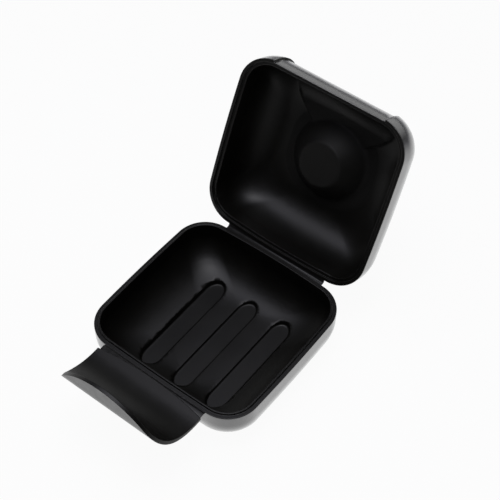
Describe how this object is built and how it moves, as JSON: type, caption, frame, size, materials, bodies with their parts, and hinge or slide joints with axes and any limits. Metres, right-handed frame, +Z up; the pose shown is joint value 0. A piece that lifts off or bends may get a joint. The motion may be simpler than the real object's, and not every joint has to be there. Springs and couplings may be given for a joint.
{
  "type": "travel soap box",
  "caption": "Hinged travel soap box: rounded square base tray with drain grooves, domed lid on a film hinge, and a curved front clasp that wraps over the lid.",
  "frame": {"origin": "middle of the base tray's flat underside", "axes": "+X to the right, +Y to the rear where the lid is hinged, -Y to the front where the clasp is, +Z up"},
  "size_m": [0.095, 0.1836, 0.111],
  "materials": {
    "grey_plastic": "satin dark grey polypropylene",
    "hinge_film": "thin flexed web of the same grey polypropylene"
  },
  "bodies": {
    "base": {"base_tray": "grey_plastic", "lid_hinge_film": "hinge_film", "clasp_hinge_film": "hinge_film"},
    "lid": {"lid_shell": "grey_plastic"},
    "clasp": {"clasp_flap": "grey_plastic"}
  },
  "joints": [
    {"name": "lid_hinge", "type": "hinge", "parent": "base", "child": "lid", "pos_m": [0, 0.04705, 0.0273], "axis": [-1, 0, 0], "range_deg": [-115, 55], "deforming": ["lid_hinge_film"]},
    {"name": "clasp_hinge", "type": "hinge", "parent": "base", "child": "clasp", "pos_m": [0, -0.0462, 0.0273], "axis": [1, 0, 0], "range_deg": [-94, 56], "deforming": ["clasp_hinge_film"]}
  ]
}
